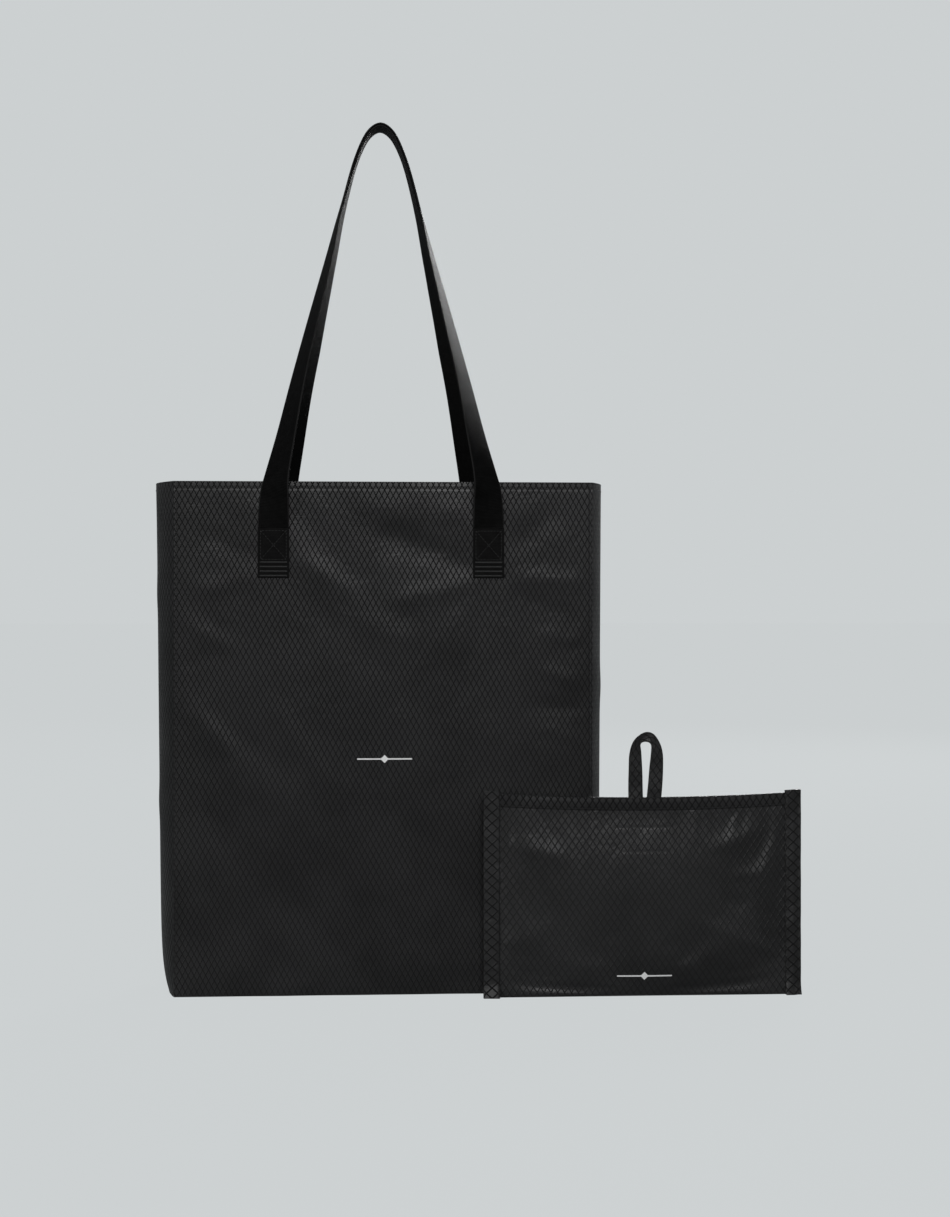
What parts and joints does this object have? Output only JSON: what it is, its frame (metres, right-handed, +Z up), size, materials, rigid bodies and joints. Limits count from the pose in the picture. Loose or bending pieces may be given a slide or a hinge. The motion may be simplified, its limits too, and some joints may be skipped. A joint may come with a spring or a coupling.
{
  "type": "foldable tote bag",
  "caption": "Tall foldable ripstop tote with two nested webbing handles, shown open and upright with its small storage pouch standing beside it.",
  "frame": {"origin": "centre of the tote's flat base, on the surface it stands on", "axes": "+X to the right seen from the front, +Y from the front to the back, +Z up"},
  "size_m": [0.5153, 0.1481, 0.708],
  "materials": {
    "ripstop": "black diamond ripstop with a slight sheen",
    "tape": "black folded ripstop tape",
    "webbing": "matt black ribbed webbing",
    "thread": "black sewing thread",
    "hook_and_loop": "black hook and loop tape",
    "mark": "thin light grey print"
  },
  "bodies": {
    "front_half": {"front_panel": "ripstop", "bottom_panel": "ripstop", "left_gusset": "ripstop", "right_gusset": "ripstop", "front_hem": "tape", "left_hem": "tape", "right_hem": "tape", "bottom_front_binding": "tape", "front_left_binding": "tape", "front_right_binding": "tape", "front_left_anchor": "webbing", "front_right_anchor": "webbing", "front_left_bartack": "thread", "front_right_bartack": "thread", "front_left_patch": "tape", "front_right_patch": "tape", "front_mark": "mark"},
    "back_half": {"back_panel": "ripstop", "back_hem": "tape", "bottom_back_binding": "tape", "back_left_binding": "tape", "back_right_binding": "tape", "back_left_anchor": "webbing", "back_right_anchor": "webbing", "back_left_bartack": "thread", "back_right_bartack": "thread", "back_left_patch": "tape", "back_right_patch": "tape"},
    "front_handle": {"front_handle": "webbing"},
    "back_handle": {"back_handle": "webbing"},
    "pouch": {"pouch_front": "ripstop", "pouch_back": "ripstop", "pouch_front_hem": "tape", "pouch_back_hem": "tape", "pouch_left_binding": "tape", "pouch_right_binding": "tape", "pouch_hook_patch": "hook_and_loop", "pouch_loop_patch": "hook_and_loop", "pouch_mark": "mark"},
    "pouch_loop": {"pouch_loop": "ripstop"}
  },
  "joints": [
    {"name": "bag_flatten", "type": "slide", "parent": "front_half", "child": "back_half", "axis": [0, -1, 0], "range_m": [0, 0.085], "deforming": ["bottom_panel", "left_gusset", "right_gusset", "left_hem", "right_hem", "front_handle", "back_handle"]},
    {"name": "front_handle_swing", "type": "hinge", "parent": "front_half", "child": "front_handle", "pos_m": [0, -0.053, 0.374], "axis": [1, 0, 0], "range_deg": [0, 150]},
    {"name": "back_handle_swing", "type": "hinge", "parent": "back_half", "child": "back_handle", "pos_m": [0, 0.053, 0.374], "axis": [-1, 0, 0], "range_deg": [0, 150]},
    {"name": "pouch_lift_away", "type": "slide", "parent": "front_half", "child": "pouch", "axis": [0, -1, 0], "range_m": [0, 0.3]},
    {"name": "pouch_loop_fold", "type": "hinge", "parent": "pouch", "child": "pouch_loop", "pos_m": [0.206, -0.06299, 0.1608], "axis": [1, 0, 0], "range_deg": [-80, 80]}
  ]
}
